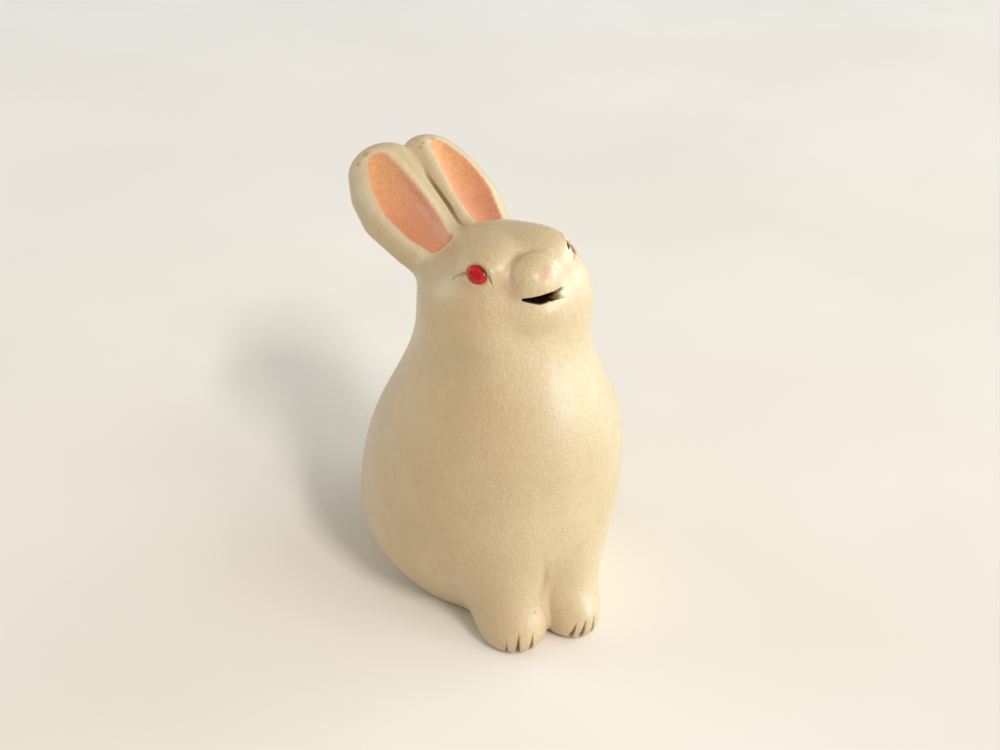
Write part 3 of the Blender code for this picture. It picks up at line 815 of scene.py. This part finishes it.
for name, eye_place, sunk_in in zip(("right_eye_glaze", "left_eye_glaze"), EYE_PLACES, DROP_SUNK):
    directions = eye_directions(eye_place)
    bm = bmesh.new()
    bmesh.ops.create_icosphere(bm, subdivisions=4, radius=1.0)
    # Each point's share of the painted shade under the pit's upper lip.
    edge = []
    for vertex in bm.verts:
        edge.append(vertex.co.xy.length * max(0.0, vertex.co.xy.dot(DROP_SHADE_SIDE)))
        lumpy = 1 + LUMPINESS * noise.noise(vertex.co * LUMPS + Vector(eye_place))
        flat = np.array(vertex.co) * (DROP_HALF_WIDE, DROP_HALF_HIGH, DROP_THICK) * lumpy
        spot = eye_place + flat @ directions - directions[2] * sunk_in
        vertex.co = Vector((spot - (0, NECK_FORWARD, 0)) * MM)
    mesh = bpy.data.meshes.new(name)
    bm.to_mesh(mesh)
    bm.free()
    drop = bpy.data.objects.new(name, mesh)
    keep_on_mesh(drop, "drop_edge_shade", np.array(edge))
    bpy.context.scene.collection.objects.link(drop)
    mesh.materials.append(red_glaze)
    mesh.shade_smooth()
    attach(drop, "root")

# The table
#
# The figure stands on a plain pale surface that runs on past the picture. The paint is faintly clouded,
# and the cooler light further off behind the figure is painted into it.
TABLE_RADIUS = 4.0
TABLE_NEAR, TABLE_NEAR_PALE = colour(0.81, 0.77, 0.70), colour(0.85, 0.81, 0.745)
TABLE_FAR, TABLE_FAR_PALE = colour(0.81, 0.80, 0.765), colour(0.85, 0.84, 0.81)
# Metres behind the figure where the painted cooler light starts and is full, and the clouds in a metre.
TABLE_COOLS = (0.02, 0.40)
TABLE_CLOUDS = 9.0
bm = bmesh.new()
bmesh.ops.create_circle(bm, cap_ends=True, segments=96, radius=TABLE_RADIUS)
mesh = bpy.data.meshes.new("table")
bm.to_mesh(mesh)
bm.free()
table = bpy.data.objects.new("table", mesh)
bpy.context.scene.collection.objects.link(table)
table_paint, shader, wire = new_material("pale_table")
metres = wire.node("TexCoord", {}, {}, "Object")
cloudy = wire.noise(metres, TABLE_CLOUDS, detail=3.0).between(0.3, 0.7)
far = wire.node("SeparateXYZ", {}, {0: metres}, "Y").between(*TABLE_COOLS)
near_paint = cloudy.mixed(TABLE_NEAR, TABLE_NEAR_PALE)
far_paint = cloudy.mixed(TABLE_FAR, TABLE_FAR_PALE)
paint = far.mixed(near_paint, far_paint)
wire.tree.links.new(paint.socket, shader.inputs["Base Color"])
shader.inputs["Roughness"].default_value = 0.65
mesh.materials.append(table_paint)

# The light
#
# A long soft lamp hangs high in front of the figure. Low windows stand on its left, the picture's right,
# with a weak lamp above them and another behind its right, and the pale room fills the shade.
FIGURE_MIDDLE = Vector((0.0, 0.0, 0.045))


def soft_light(name, azimuth, elevation, distance, size, tip, watts, tint):
    """A rectangular light that faces the figure.

    The azimuth in degrees runs from the figure's front round to its left. The light's wide side is tipped up
    by the tip, in degrees. Distance and size are in metres.
    """
    turn, rise = np.radians((azimuth, elevation))
    out = Vector((np.sin(turn) * np.cos(rise), -np.cos(turn) * np.cos(rise), np.sin(rise)))
    data = bpy.data.lights.new(name, "AREA")
    data.shape = "RECTANGLE"
    data.size, data.size_y = size
    data.energy = watts
    data.color = tint
    light = bpy.data.objects.new(name, data)
    light.location = FIGURE_MIDDLE + out * distance
    facing = out.to_track_quat("Z", "Y") @ Quaternion((0, 0, 1), np.radians(tip))
    light.rotation_euler = facing.to_euler()
    bpy.context.scene.collection.objects.link(light)


soft_light("long lamp", 13, 46, 2.7, (0.80, 0.20), 49, 34.0, (1.0, 0.945, 0.92))
soft_light("window", 84, 13, 2.6, (2.4, 0.9), 0, 27.0, (0.87, 1.0, 0.95))
soft_light("low window", 50, 8, 2.6, (1.4, 0.5), 0, 29.0, (0.70, 0.87, 1.0))
soft_light("window behind", 100, 8, 2.6, (1.6, 0.5), 0, 22.0, (0.55, 0.83, 1.0))
soft_light("high right", 42, 54, 2.7, (1.0, 0.6), 0, 8.6, (1.0, 0.93, 0.82))
soft_light("far left", -125, 25, 2.6, (1.4, 1.4), 0, 14.0, (0.75, 0.97, 1.0))

ROOM_WARM_WHITE, ROOM_GLOW = colour(1.0, 0.885, 0.81), 0.455
world = bpy.data.worlds.new("pale_room")
world.use_nodes = True
world.node_tree.nodes["Background"].inputs["Color"].default_value = ROOM_WARM_WHITE
world.node_tree.nodes["Background"].inputs["Strength"].default_value = ROOM_GLOW
bpy.context.scene.world = world
bpy.context.scene.view_settings.view_transform = "Standard"
